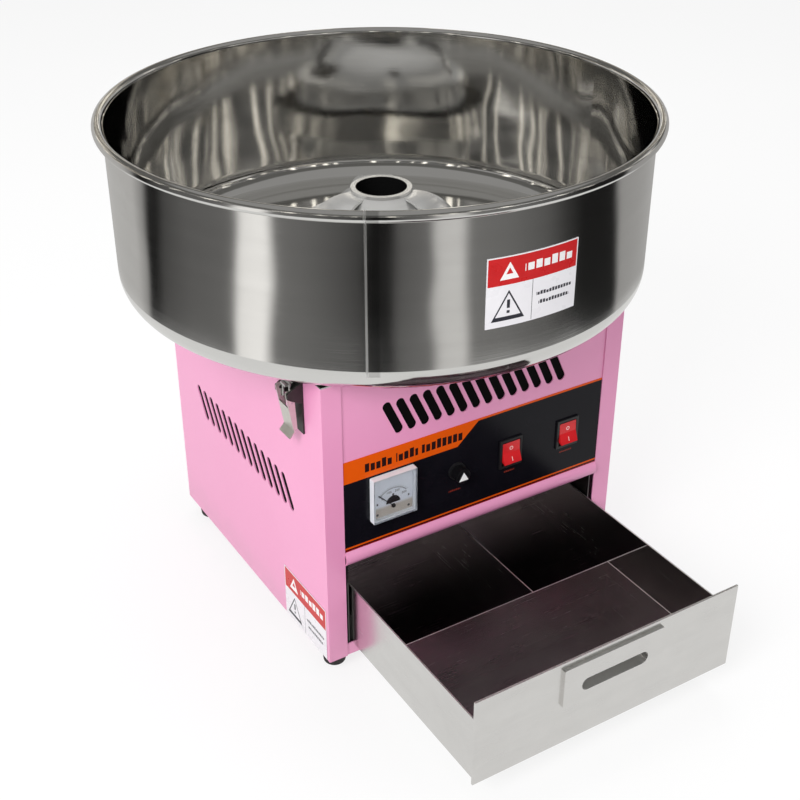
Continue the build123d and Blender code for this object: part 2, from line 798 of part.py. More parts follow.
with BuildPart() as carbon_brushes:
    for side, height in brush_places:
        face = ring_radius + brush_gap
        across = (side * face, side * (face + brush_length))
        block(across, (-brush / 2, brush / 2), (height - brush / 2, height + brush / 2))
save(carbon_brushes, "carbon_brushes")

# ======== Spinning head, from the fan at the spindle's foot to the lid ========

hub_top = head_base_z + head_hub_rise
with BuildPart() as spindle:
    rod((0, 0), spindle_radius, (spindle_foot, hub_top))
save(spindle, "spindle")

with BuildPart() as cooling_fan:
    fan_height = (spindle_foot, spindle_foot + fan_hub)
    rod((0, 0), fan_hub_radius, fan_height)
    with Locations((0, axis_y, sum(fan_height) / 2)):
        with PolarLocations(fan_hub_radius + fan_blade_length / 2 - fan_blade_root, fan_blades):
            Box(fan_blade_length, fan_blade_chord, fan_blade_sheet, rotation=(fan_blade_pitch, 0, 0))
    rod((0, 0), spindle_radius, fan_height, mode=Mode.SUBTRACT)
save(cooling_fan, "cooling_fan")

leg_angles = [leg_first_angle + 360 / leg_count * turn for turn in range(leg_count)]
with BuildPart() as head_base_piece:
    rod((0, 0), head_radius, (head_base_z, head_floor))
    rod((0, 0), head_hub_radius, (head_base_z, hub_top))
    rod((0, 0), spindle_radius, (head_base_z, hub_top), mode=Mode.SUBTRACT)
save(head_base_piece, "head_base")

with BuildPart() as head_posts:
    with BuildSketch(level(head_floor)):
        with PolarLocations(post_ring_radius, leg_count, start_angle=leg_first_angle):
            Circle(post_radius)
    extrude(amount=head_ring_z - head_floor)
    with BuildSketch(level(head_ring_z)):
        with PolarLocations(post_ring_radius, leg_count, start_angle=leg_first_angle):
            Circle(lid_screw_radius)
    extrude(amount=-lid_screw_depth, mode=Mode.SUBTRACT)
save(head_posts, "head_posts")

with BuildPart() as heater_insulators:
    with BuildSketch(level(head_floor)):
        with PolarLocations(heater_ring_radius, leg_count, start_angle=leg_first_angle + 180 / leg_count):
            Circle(insulator_radius)
    extrude(amount=insulator_height)
save(heater_insulators, "heater_insulators")

with BuildPart() as heater_coil:
    with BuildSketch(radial_at(0)):
        with Locations((heater_ring_radius, head_floor + insulator_height + heater_radius)):
            Circle(heater_radius)
    revolve(axis=spin_axis)
save(heater_coil, "heater_coil")

with BuildPart() as screen_band:
    with BuildSketch(level(head_floor)):
        Circle(band_radius)
        Circle(band_radius - band_wall, mode=Mode.SUBTRACT)
    extrude(amount=head_ring_z - head_floor)
    with Locations((0, axis_y, (head_floor + head_ring_z) / 2)):
        with PolarLocations(band_radius, band_slots):
            Box(4 * band_wall, band_slot_width, band_slot_height, mode=Mode.SUBTRACT)
save(screen_band, "screen_band")

with BuildPart() as head_lid:
    # Feed tube, its rim and the short cone around it.
    with BuildSketch(radial_at(0)):
        with BuildLine():
            Polyline(
                (lid_hole_radius, lid_tube_foot_z),
                (lid_hole_radius, lid_top_z),
                (lid_rim_radius, lid_top_z),
                (lid_rim_radius, lid_top_z - lid_rim),
                (cone_foot_radius, cone_foot_z),
                (cone_foot_radius - cone_wall, cone_foot_z - cone_wall / 2),
                (lid_hole_radius + lid_tube_wall, lid_top_z - lid_rim - cone_wall),
                (lid_hole_radius + lid_tube_wall, lid_tube_foot_z),
                close=True,
            )
        make_face()
    revolve(axis=spin_axis)
    # Outer ring that clamps the screen band.
    with BuildSketch(level(head_ring_z)):
        Circle(head_radius)
        Circle(head_radius - head_ring_width, mode=Mode.SUBTRACT)
    extrude(amount=head_ring)
    # Three broad bowed legs from the cone to the ring.
    leg_top_radius = lid_rim_radius + cone_wall / 2
    leg_top_z = lid_top_z - lid_rim
    leg_foot_z = head_ring_z + head_ring / 2
    for angle in leg_angles:
        with BuildSketch(radial_at(angle - leg_width_angle / 2)):
            with BuildLine():
                ThreePointArc(
                    (leg_top_radius, leg_top_z),
                    (leg_crown_radius, leg_crown_z - cone_wall),
                    (leg_foot_radius, leg_foot_z),
                )
                Line((leg_foot_radius, leg_foot_z), (leg_foot_radius - leg_wall, leg_foot_z))
                ThreePointArc(
                    (leg_foot_radius - leg_wall, leg_foot_z),
                    (leg_crown_radius - leg_wall / 2, leg_crown_z - cone_wall - leg_wall),
                    (leg_top_radius, leg_top_z - leg_wall),
                )
                Line((leg_top_radius, leg_top_z - leg_wall), (leg_top_radius, leg_top_z))
            make_face()
        revolve(axis=spin_axis, revolution_arc=leg_width_angle)
    with BuildSketch(level(head_ring_z)):
        with PolarLocations(post_ring_radius, leg_count, start_angle=leg_first_angle):
            Circle(lid_screw_head_radius + cutout_gap)
    extrude(amount=punch, mode=Mode.SUBTRACT)
save(head_lid, "head_lid")

with BuildPart() as head_screws:
    with BuildSketch(level(head_ring_z - lid_screw_depth)):
        with PolarLocations(post_ring_radius, leg_count, start_angle=leg_first_angle):
            Circle(lid_screw_radius)
    extrude(amount=lid_screw_depth)
    with BuildSketch(level(head_ring_z)):
        with PolarLocations(post_ring_radius, leg_count, start_angle=leg_first_angle):
            Circle(lid_screw_head_radius)
    extrude(amount=lid_screw_head)
save(head_screws, "head_screws")

# ======== Bowl ========

with BuildPart() as bowl:
    inside_radius = bowl_radius - sheet
    inside_corner = bowl_corner - sheet
    floor_z = body_top + sheet
    bead_z = rim_top - rim_bead_radius
    with BuildSketch(radial_at(0)):
        with BuildLine():
            Polyline(
                (inside_radius, floor_z + inside_corner),
                (inside_radius, bead_z),
                (bowl_radius, bead_z),
                (bowl_radius, body_top + bowl_corner),
            )
            corner = ((bowl_radius, body_top + bowl_corner), (bowl_radius - bowl_corner, body_top))
            RadiusArc(*corner, bowl_corner)
            Polyline(
                (bowl_radius - bowl_corner, body_top),
                (bowl_hole_radius, body_top),
                (bowl_hole_radius, body_top + bowl_lip),
                (bowl_hole_radius + sheet, body_top + bowl_lip),
                (bowl_hole_radius + sheet, floor_z),
                (inside_radius - inside_corner, floor_z),
            )
            corner = ((inside_radius - inside_corner, floor_z), (inside_radius, floor_z + inside_corner))
            RadiusArc(*corner, -inside_corner)
        make_face()
        with Locations((rim_radius - rim_bead_radius, bead_z)):
            Circle(rim_bead_radius)
    revolve(axis=spin_axis)
save(bowl, "bowl")

# ======== Bowl latches ========

tongue_top = keeper_tongue_z + keeper_sheet
hook_z = tongue_top + hook_gap + bail_radius
ear_inside = lever_half_width + ear_gap
ear_outside = ear_inside + ear_sheet
pin_inside = lever_half_width - lever_sheet - ear_gap / 2
latches = [
    (side, depth, f"{end}_{hand}")
    for side, hand in ((-1, "left"), (1, "right"))
    for depth, end in ((latch_front, "front"), (latch_rear, "rear"))
]

with BuildPart() as bowl_keepers:
    for side, depth, name in latches:
        face = side * body_half_width
        width = (depth - keeper_half_width, depth + keeper_half_width)
        across = (face + side * keeper_out, face + side * keeper_reach)
        block(across, width, (keeper_tongue_z, tongue_top))
        across = (face + side * keeper_out, face + side * (keeper_out + keeper_sheet))
        block(across, width, (keeper_tongue_z, body_top))
save(bowl_keepers, "bowl_keepers")

with BuildPart() as latch_bases:
    for side, depth, name in latches:
        face = side * body_half_width
        width = (depth - latch_plate_half_width, depth + latch_plate_half_width)
        height = (pivot_z - latch_plate_below, pivot_z + latch_plate_above)
        block((face, face + side * latch_plate), width, height)
        with BuildSketch(latch_at(side, depth)):
            with BuildLine():
                Polyline(
                    (0, pivot_z - ear_foot_half_height),
                    (0, pivot_z + ear_foot_half_height),
                    (pivot_out, pivot_z + ear_half_height),
                    (pivot_out + ear_nose, pivot_z + ear_nose_half_height),
                    (pivot_out + ear_nose, pivot_z - ear_nose_half_height),
                    (pivot_out, pivot_z - ear_half_height),
                    close=True,
                )
            make_face()
        extrude(amount=ear_outside, both=True)
        across = (face + side * latch_plate, face + side * 2 * pivot_out)
        width = (depth - ear_inside, depth + ear_inside)
        height = (pivot_z - 2 * ear_foot_half_height, pivot_z + 2 * ear_foot_half_height)
        block(across, width, height, mode=Mode.SUBTRACT)
        for hand in (-1, 1):
            reach = sorted((depth + hand * pin_inside, depth + hand * ear_inside))
            pin_along_y((face + side * pivot_out, pivot_z), latch_pin_radius, reach)
save(latch_bases, "latch_bases")

for side, depth, name in latches:
    face = side * body_half_width
    with BuildPart() as lever:
        # Two side walls around the pivot, then the thumb plate across them.
        with BuildSketch(latch_at(side, depth)):
            with BuildLine():
                Polyline(*[(pivot_out + x, pivot_z + z) for x, z in lever_wall_profile], close=True)
            make_face()
        extrude(amount=lever_half_width, both=True)
        inside = (depth - lever_half_width + lever_sheet, depth + lever_half_width - lever_sheet)
        height = (pivot_z - 2 * punch, pivot_z + punch)
        block((face, face + side * 2 * pivot_out), inside, height, mode=Mode.SUBTRACT)
        with BuildSketch(latch_at(side, depth)):
            with BuildLine():
                Polyline(*[(pivot_out + x, pivot_z + z) for x, z in thumb_plate_profile], close=True)
            make_face()
        extrude(amount=lever_half_width, both=True)
        through = (depth - lever_half_width, depth + lever_half_width)
        pivot = (face + side * pivot_out, pivot_z)
        pin_along_y(pivot, latch_pin_radius + running_fit, through, mode=Mode.SUBTRACT)
        bail_pivot = (face + side * bail_out, bail_z)
        pin_along_y(bail_pivot, bail_radius + running_fit, through, mode=Mode.SUBTRACT)
    save(lever, f"latch_lever_{name}")

    with BuildPart() as bail:
        middle = (face + side * bail_out, axis_y + depth, 0)
        with BuildLine(Plane(origin=middle, x_dir=(0, 1, 0), z_dir=(1, 0, 0))) as wire:
            FilletPolyline(
                (lever_half_width, bail_z),
                (bail_half_width, bail_z),
                (bail_half_width, hook_z),
                (-bail_half_width, hook_z),
                (-bail_half_width, bail_z),
                (-lever_half_width, bail_z),
                radius=bail_bend,
            )
        with BuildSketch(Plane(origin=wire.line @ 0, z_dir=wire.line % 0)):
            Circle(bail_radius)
        sweep(path=wire.line)
    save(bail, f"latch_bail_{name}")

# ======== Drawer ========

grip_across = (grip_centre_x, grip_centre_z)
grip_cut_length = grip_length + 2 * (grip_wall + grip_cutout_gap)
grip_cut_height = grip_height + 2 * (grip_wall + grip_cutout_gap)

with BuildPart() as drawer_box:
    outside = (-drawer_box_half_width, drawer_box_half_width)
    block(outside, (-drawer_box_front, -drawer_box_back), (drawer_floor, drawer_wall_top))
    block(
        (outside[0] + sheet, outside[1] - sheet),
        (sheet - drawer_box_front, -drawer_box_back - sheet),
        (drawer_floor + sheet, drawer_wall_top),
        mode=Mode.SUBTRACT,
    )
    with BuildSketch(front_at(drawer_box_front)):
        with Locations(grip_across):
            SlotOverall(grip_cut_length, grip_cut_height)
    extrude(amount=-2 * sheet, mode=Mode.SUBTRACT)
save(drawer_box, "drawer_box")

with BuildPart() as drawer_front:
    half_width = drawer_plate_half_width
    block((-half_width, half_width), (-drawer_face, -drawer_box_front), (drawer_floor, drawer_plate_top))
    with BuildSketch(front_at(drawer_face)):
        with Locations(grip_across):
            SlotOverall(grip_cut_length, grip_cut_height)
    extrude(amount=-drawer_plate, mode=Mode.SUBTRACT)
save(drawer_front, "drawer_front")

with BuildPart() as handle_piece:
    with BuildSketch(front_at(drawer_face)):
        with Locations((handle_centre_x, handle_centre_z)):
            RectangleRounded(handle_width, handle_height, handle_plate / 2)
    extrude(amount=handle_plate)
    with BuildSketch(front_at(drawer_face)):
        with Locations(grip_across):
            SlotOverall(grip_length + 2 * grip_wall, grip_height + 2 * grip_wall)
    extrude(amount=-grip_depth)
    with BuildSketch(front_at(drawer_face + handle_plate)):
        with Locations(grip_across):
            SlotOverall(grip_length, grip_height)
    extrude(amount=grip_wall - grip_depth - handle_plate, mode=Mode.SUBTRACT)
save(handle_piece, "handle_plate")

divider_height = (drawer_floor + sheet, drawer_wall_top - divider_headroom)
divider_foot_height = (divider_height[0], divider_height[0] + divider_sheet)
inside_half_width = drawer_box_half_width - sheet
cross_front = cross_divider_back - drawer_box_front
with BuildPart() as cross_divider:
    block((-inside_half_width, inside_half_width), (cross_front, cross_front + divider_sheet), divider_height)
    foot_across = (-inside_half_width, front_divider_x - divider_foot)
    block(foot_across, (cross_front - divider_foot, cross_front), divider_foot_height)
save(cross_divider, "cross_divider")

with BuildPart() as front_divider:
    across = (front_divider_x, front_divider_x + divider_sheet)
    block(across, (sheet - drawer_box_front, cross_front), divider_height)
    across = (front_divider_x, front_divider_x + divider_foot)
    block(across, (sheet - drawer_box_front, cross_front), divider_foot_height)
save(front_divider, "front_divider")

with BuildPart() as rear_divider:
    depth = (cross_front + divider_sheet, -drawer_box_back - sheet)
    block((rear_divider_x, rear_divider_x + divider_sheet), depth, divider_height)
    block((rear_divider_x, rear_divider_x + divider_foot), depth, divider_foot_height)
save(rear_divider, "rear_divider")
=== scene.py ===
import json
import math

import bmesh
import bpy
from mathutils import Matrix, Vector


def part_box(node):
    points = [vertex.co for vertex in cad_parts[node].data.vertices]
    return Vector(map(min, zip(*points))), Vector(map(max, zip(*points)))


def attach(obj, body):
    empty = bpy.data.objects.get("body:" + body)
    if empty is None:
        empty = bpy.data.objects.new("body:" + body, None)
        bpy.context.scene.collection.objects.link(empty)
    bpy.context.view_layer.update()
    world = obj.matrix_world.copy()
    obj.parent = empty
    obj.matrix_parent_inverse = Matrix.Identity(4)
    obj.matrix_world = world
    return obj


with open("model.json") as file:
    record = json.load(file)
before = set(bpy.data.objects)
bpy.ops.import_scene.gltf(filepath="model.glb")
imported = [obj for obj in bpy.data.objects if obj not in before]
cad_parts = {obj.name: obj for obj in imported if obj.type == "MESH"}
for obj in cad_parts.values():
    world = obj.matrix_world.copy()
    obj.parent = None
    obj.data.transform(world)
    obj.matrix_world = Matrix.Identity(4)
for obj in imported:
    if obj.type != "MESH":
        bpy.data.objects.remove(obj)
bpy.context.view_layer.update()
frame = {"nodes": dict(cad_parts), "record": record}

# Looks of the cotton candy machine: paint, polished and brushed steel, the printed panel, labels, dial
# and lamps.


# ======== Shader nodes written as Python ========

class Value:
    """A node's output. Arithmetic on it adds Math nodes."""

    def __init__(self, look, socket):
        self.look, self.socket = look, socket

    def math(self, operation, *others):
        return self.look.node("Math", {"operation": operation}, dict(enumerate((self, *others))))

    def __add__(self, other):
        return self.math("ADD", other)

    def __mul__(self, other):
        return self.math("MULTIPLY", other)

    def __sub__(self, other):
        return self.math("SUBTRACT", other)

    def __truediv__(self, other):
        return self.math("DIVIDE", other)

    def __pow__(self, other):
        return self.math("POWER", other)

    def __gt__(self, other):
        return self.math("GREATER_THAN", other)

    def __lt__(self, other):
        return self.math("LESS_THAN", other)

    def __rsub__(self, other):
        return self.look.node("Math", {"operation": "SUBTRACT"}, {0: other, 1: self})

    def __rtruediv__(self, other):
        return self.look.node("Math", {"operation": "DIVIDE"}, {0: other, 1: self})

    def __abs__(self):
        return self.math("ABSOLUTE")

    __radd__, __rmul__ = __add__, __mul__


class Look:
    """A material, or the world, and its nodes."""

    def __init__(self, name, owner=None, **constants):
        self.owner = owner or bpy.data.materials.new(name)
        self.owner.use_nodes = True
        self.tree = self.owner.node_tree
        if owner is None:
            self.shader = self.tree.nodes["Principled BSDF"]
            for socket, number in constants.items():
                self.shader.inputs[socket.replace("_", " ")].default_value = number
            self.coords = self.node("TexCoord", output="Object")
            self.x, self.y, self.z = self.split(self.coords)

    def node(self, kind, settings=None, sockets=None, output=0):
        """Any node: its type, its settings, then the numbers or links of its sockets."""
        made = self.tree.nodes.new("ShaderNode" + kind)
        for setting, choice in (settings or {}).items():
            if setting == "stops":
                self.set_stops(made.color_ramp, choice)
            else:
                setattr(made, setting, choice)
        for socket, content in (sockets or {}).items():
            if isinstance(content, Value):
                self.tree.links.new(content.socket, made.inputs[socket])
            else:
                made.inputs[socket].default_value = content
        return Value(self, made.outputs[output])

    @staticmethod
    def set_stops(ramp, stops):
        while len(ramp.elements) < len(stops):
            ramp.elements.new(0.5)
        for element, (place, colour) in zip(ramp.elements, stops):
            element.position = place
            element.color = (*colour, 1)

    def split(self, vector):
        made = self.node("SeparateXYZ", sockets={0: vector}).socket.node
        return [Value(self, output) for output in made.outputs]

    def join(self, x=0, y=0, z=0):
        return self.node("CombineXYZ", sockets={0: x, 1: y, 2: z})

    def ramp(self, factor, *stops):
        return self.node("ValToRGB", {"stops": stops}, {0: factor})

    def blend(self, factor, first, second):
        """Colour that goes from first to second as factor goes from 0 to 1."""
        first, second = ((*c, 1) if isinstance(c, tuple) else c for c in (first, second))
        return self.node("Mix", {"data_type": "RGBA"}, {0: factor, 6: first, 7: second}, output=2)

    def noise(self, vector, scale, detail=3.0, roughness=0.5):
        sockets = {"Vector": vector, "Scale": scale, "Detail": detail, "Roughness": roughness}
        return self.node("TexNoise", sockets=sockets)

    def between(self, value, low, high, soft=0.0):
        """1 between two limits and 0 outside, with edges of a given softness."""
        if not soft:
            return (value > low) * (value < high)
        return self.climb(value, low - soft, low + soft) * (1 - self.climb(value, high - soft, high + soft))

    def climb(self, value, low, high):
        """0 below one limit and 1 above another, with a smooth climb between them."""
        return self.node("MapRange", {"interpolation_type": "SMOOTHSTEP"}, {0: value, 1: low, 2: high})

    def spread(self, value, low, high):
        """A factor from 0 to 1 put to a range."""
        return value * (high - low) + low

    def box(self, across, up, centre, width, height):
        """1 inside a rectangle of the pattern's plane."""
        sideways = self.between(across, centre[0] - width / 2, centre[0] + width / 2)
        return sideways * self.between(up, centre[1] - height / 2, centre[1] + height / 2)

    def bump(self, height, distance, strength=1.0, under=None):
        sockets = {"Strength": strength, "Distance": distance, "Height": height}
        if under is not None:
            sockets["Normal"] = under
        return self.node("Bump", sockets=sockets)

    def feed(self, **sockets):
        """Link outputs to the main shader's sockets."""
        for socket, content in sockets.items():
            self.tree.links.new(content.socket, self.shader.inputs[socket.replace("_", " ")])
        return self.owner


def shader_only(name):
    """A material whose main shader is replaced."""
    look = Look(name)
    look.tree.nodes.remove(look.shader)
    look.result = look.tree.nodes["Material Output"].inputs["Surface"]
    return look


# ======== Places, read from the frame ========

def middle(node):
    low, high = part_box(node)
    return (low + high) / 2


axis_y = middle("spindle").y
bowl_low, bowl_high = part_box("bowl")
rim_radius = bowl_high.x
wall_radius = rim_radius - 0.009
overlay_low, overlay_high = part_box("control_overlay")
dial_low, dial_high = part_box("meter_dial")
dial_middle = middle("meter_dial")
panel_low, panel_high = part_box("left_side_panel")
controls_z = middle("fuse_holder").z
drawer_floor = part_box("drawer_box")[0].z + 0.001


# ======== Finishes ========

def pink_paint():
    look = Look("pink powder coat", Specular_IOR_Level=0.5, Coat_Weight=0.35, Coat_Roughness=0.12)
    drift = look.noise(look.coords, 7, 4)
    grain = look.noise(look.coords, 850, 2)
    peel = look.noise(look.coords, 240, 2)
    tint = look.blend(drift, (0.80, 0.285, 0.510), (0.86, 0.345, 0.575))
    speck = look.noise(look.coords, 1500, 1)
    tint = look.blend(look.spread(speck, 0, 0.08), tint, (0.93, 0.62, 0.78))
    dust = look.between(look.z, -0.05, 0.045, 0.02) * look.noise(look.coords, 45, 4) * 0.35
    tint = look.blend(dust, tint, (0.55, 0.30, 0.40))
    rough = look.spread(peel, 0.26, 0.40)
    normal = look.bump(grain * 0.35 + peel, 0.00012, 0.35)
    return look.feed(Base_Color=tint, Roughness=rough, Normal=normal)


def turned(look):
    """The angle about the spin axis, the distance from it, and a vector whose detail runs around it."""
    depth = look.y - axis_y
    angle = depth.math("ARCTAN2", look.x)
    radius = (look.x * look.x + depth * depth).math("SQRT")
    return angle, radius, look.join(angle * 0.25, radius, look.z)


def polished_steel():
    look = Look("polished stainless steel", Metallic=1.0, Specular_IOR_Level=0.5)
    angle, radius, around = turned(look)
    lines = look.node("Mapping", sockets={"Vector": around, "Scale": (6, 1100, 1100)})
    brushing = look.noise(lines, 1, 3, 0.6)
    bands = look.node("Mapping", sockets={"Vector": around, "Scale": (3, 55, 55)})
    rolling = look.noise(bands, 1, 3)
    dents = look.noise(look.coords, 9, 1)
    smear = look.noise(look.coords, 26, 5, 0.62)
    inside = radius < wall_radius - 0.0006
    seam_angle = math.radians(-123.6)
    off_seam = (angle - seam_angle) * wall_radius
    patches = look.noise(look.node("Mapping", sockets={"Vector": look.coords, "Scale": (1, 1, 55)}), 1, 3)
    on_wall = (radius > wall_radius - 0.0035) * (1 - inside)
    # Weld seam: a raised, rougher line whose light colour is partly painted highlight; beside it a dark band
    # of painted reflection.
    weld_and_highlight = look.between(off_seam, -0.0009, 0.0009, 0.0004) * on_wall
    seam_dark_reflection = look.between(off_seam, 0.001, 0.0105, 0.0012) * on_wall
    tone = look.blend(rolling, (0.72, 0.715, 0.70), (0.84, 0.835, 0.82))
    tone = look.blend(look.spread(smear, 0, 0.20), tone, (0.60, 0.585, 0.55))
    # Painted reflection: the dark band beside the seam. Painted highlight: the light weld line.
    tone = look.blend(seam_dark_reflection * look.spread(patches, 0.0, 0.75), tone, (0.24, 0.235, 0.23))
    tone = look.blend(weld_and_highlight * 0.45, tone, (0.95, 0.95, 0.94))
    base = 0.065 - inside * 0.040
    rough = base + brushing * look.spread(inside, 0.085, 0.055) + look.spread(smear, -0.02, 0.04)
    rough = (rough + weld_and_highlight * 0.25).math("MAXIMUM", 0.02)
    coarse = look.bump(dents, 0.0045, 0.5)
    normal = look.bump(brushing + rolling * 0.7 + weld_and_highlight * 6, 0.00003, 0.6, coarse)
    return look.feed(Base_Color=tone, Roughness=rough, Normal=normal)


def polished_aluminium():
    look = Look("turned aluminium", Metallic=0.7)
    angle, radius, around = turned(look)
    lines = look.node("Mapping", sockets={"Vector": around, "Scale": (5, 1400, 1400)})
    turning = look.noise(lines, 1, 2, 0.6)
    bands = look.node("Mapping", sockets={"Vector": around, "Scale": (1, 260, 260)})
    polish = look.noise(bands, 1, 2)
    stain = look.noise(look.coords, 60, 4, 0.6)
    tone = look.blend(polish, (0.76, 0.76, 0.75), (0.90, 0.90, 0.885))
    tone = look.blend(look.spread(stain, -0.1, 0.3), tone, (0.60, 0.58, 0.54))
    # Painted shade: the head's middle, within 24.5 mm of the spin axis, is painted near black.
    tone = look.blend(radius < 0.0245, tone, (0.02, 0.02, 0.02))
    rough = look.spread(turning, 0.14, 0.26) + look.spread(stain, -0.03, 0.06)
    normal = look.bump(turning, 0.00006, 0.6)
    return look.feed(Base_Color=tone, Roughness=rough, Normal=normal)


def satin_steel(name, dark, light, gloss):
    look = Look(name, Metallic=1.0)
    grain = look.node("Mapping", sockets={"Vector": look.coords, "Scale": (7, 7, 1000)})
    upright = look.noise(grain, 1, 3, 0.65)
    across = look.node("Mapping", sockets={"Vector": look.coords, "Scale": (7, 1000, 7)})
    flat = look.noise(across, 1, 3, 0.65)
    facing = look.split(look.node("TexCoord", output="Normal"))
    lies_flat = abs(facing[2]) > 0.7
    brushing = upright + (flat - upright) * lies_flat
    rolling = look.noise(look.node("Mapping", sockets={"Vector": look.coords, "Scale": (5, 5, 60)}), 1, 3)
    marks = look.noise(look.coords, 35, 5, 0.65)
    tone = look.blend(rolling, dark, light)
    tone = look.blend(look.spread(marks, -0.1, 0.3), tone, tuple(0.8 * part for part in dark))
    rough = look.spread(brushing, *gloss) + look.spread(marks, -0.03, 0.06)
    # The drawer's floor is painted dark purple, which is painted shade with a painted pink reflection. Its
    # upward sheet edges are rougher and painted near white, a painted highlight.
    upward = facing[2] > 0.7
    floor = upward * look.between(look.z, drawer_floor - 0.001, drawer_floor + 0.004)
    edges = upward * (look.z > drawer_floor + 0.02)
    tone = look.blend(floor * look.spread(marks, 0.55, 0.95), tone, (0.20, 0.11, 0.16))
    tone = look.blend(edges, tone, (0.97, 0.97, 0.96))
    rough = rough + edges * 0.4
    dents = look.bump(look.noise(look.coords, 14, 1), 0.0016, 0.35)
    normal = look.bump(brushing, 0.00005, 0.55, dents)
    return look.feed(Base_Color=tone, Roughness=rough, Normal=normal)


def grained(name, dark, light, rough, scale=60.0, metallic=0.0, relief=0.00004, fine=700.0, **constants):
    """A plain finish with drifting colour, uneven gloss and a fine grain."""
    look = Look(name, Metallic=metallic, **constants)
    drift = look.noise(look.coords, scale, 4, 0.6)
    grain = look.noise(look.coords, fine, 2)
    tone = look.blend(drift, dark, light)
    normal = look.bump(grain + drift * 0.5, relief, 0.6)
    return look.feed(Base_Color=tone, Roughness=look.spread(drift, *rough), Normal=normal)


def broken_row(look, across, up, centre, width, height, pitch):
    """1 inside a row of short uneven blocks, which stands in a printed line's place."""
    share = across / pitch
    uneven = look.node("TexWhiteNoise", {"noise_dimensions": "1D"}, {"W": share.math("FLOOR")})
    tall = abs(up - centre[1] - (uneven - 0.5) * (height * 0.16)) < (uneven * 0.3 + 0.7) * (height / 2)
    filled = look.between(share.math("FRACT"), 0.10, 0.86)
    return look.box(across, up, centre, width, height * 1.3) * tall * filled


def overlay_film():
    look = Look("printed control film", Specular_IOR_Level=0.15)
    x, z = look.x, look.z
    top, foot = overlay_high.z, overlay_low.z
    orange, wine = (0.76, 0.095, 0.003), (0.30, 0.012, 0.008)
    slope = (z - (top - 0.023)) * 1.09
    band = look.between(z, top - 0.0228, top + 0.001) * ((x - slope) < -0.0235)
    lines = look.between(z, top - 0.0020, top + 0.001)
    lines = lines.math("MAXIMUM", look.between(z, foot + 0.0026, foot + 0.0044))
    under = look.between(z, foot - 0.001, foot + 0.0012)
    drift = look.noise(look.coords, 30, 3)
    tone = look.blend(drift, (0.0035, 0.0035, 0.0055), (0.008, 0.007, 0.011))
    tone = look.blend(under, tone, wine)
    tone = look.blend(band.math("MAXIMUM", lines), tone, orange)
    # Broken rows of plain blocks stand in the title's and the captions' places.
    blocks = None
    for start, width in ((-0.1220, 0.0290), (-0.0890, 0.0230), (-0.0620, 0.0450)):
        row = broken_row(look, x, z, (start + width / 2, top - 0.0125), width, 0.0100, 0.0058)
        blocks = row if blocks is None else blocks.math("MAXIMUM", row)
    tone = look.blend(blocks, tone, (0.022, 0.008, 0.008))
    captions = None
    for centre, width in ((-0.0255, 0.0130), (0.037, 0.012), (0.104, 0.015)):
        row = broken_row(look, x, z, (centre, controls_z - 0.0215), width, 0.0019, 0.0022)
        captions = row if captions is None else captions.math("MAXIMUM", row)
    tone = look.blend(captions * 0.55, tone, (0.42, 0.045, 0.02))
    weave = look.noise(look.coords, 900, 2)
    rough = look.spread(drift, 0.16, 0.28)
    return look.feed(Base_Color=tone, Roughness=rough, Normal=look.bump(weave, 0.00003, 0.5))


def triangle(look, across, up, centre, size):
    """1 inside an upright triangle with a level foot."""
    right = across - centre[0]
    height = up - (centre[1] - size * 0.42)
    sides = abs(right) * 1.75 + height < size * 0.86
    return sides * (height > 0)


def printed_label(name, plane, width, height, header):
    """A white label: a red header with a plain triangle, and below it a triangle cell and rows of blocks."""
    look = Look(name, Specular_IOR_Level=0.4)
    across, up = plane(look)
    paper = look.blend(look.noise(look.coords, 40, 3), (0.74, 0.72, 0.76), (0.86, 0.85, 0.87))
    border = 0.0022
    body = look.box(across, up, (0, 0), width - border, height - border)
    head_z = height / 2 - header / 2
    red_drift = look.blend(look.noise(look.coords, 120, 2), (0.50, 0.006, 0.008), (0.62, 0.012, 0.014))
    tone = look.blend(body * (up > height / 2 - header), paper, red_drift)
    left = -width * 0.27
    mark = triangle(look, across, up, (left, head_z - 0.0005), header * 0.70)
    inner = triangle(look, across, up, (left, head_z - 0.0005), header * 0.26)
    tone = look.blend(mark * (1 - inner), tone, (0.88, 0.86, 0.86))
    title = broken_row(look, across, up, (width * 0.16, head_z), width * 0.54, header * 0.34, width * 0.088)
    tone = look.blend(title, tone, (0.86, 0.84, 0.84))
    cell = -height / 2 + (height - header) / 2
    big = (height - header) * 0.84
    outline = triangle(look, across, up, (left, cell), big)
    hollow = triangle(look, across, up, (left, cell + big * 0.015), big * 0.76)
    ink = outline * (1 - hollow)
    for rise, tall in ((0.045, 0.24), (-0.18, 0.08)):
        ink = ink.math("MAXIMUM", look.box(across, up, (left, cell + big * rise), big * 0.09, big * tall))
    ink = ink.math("MAXIMUM", look.box(across, up, (-width * 0.02, cell), 0.0005, height - header) * body)
    for step, share in enumerate((0.42, 0.36)):
        spot = (width * 0.235, cell + big * (0.14 - 0.26 * step))
        row = broken_row(look, across, up, spot, width * share, big * 0.11, width * 0.034)
        ink = ink.math("MAXIMUM", row)
    tone = look.blend(ink, tone, (0.025, 0.025, 0.035))
    rough = look.spread(look.noise(look.coords, 90, 3), 0.22, 0.36)
    normal = look.bump(look.noise(look.coords, 500, 2), 0.00002, 0.5)
    return look.feed(Base_Color=tone, Roughness=rough, Normal=normal)


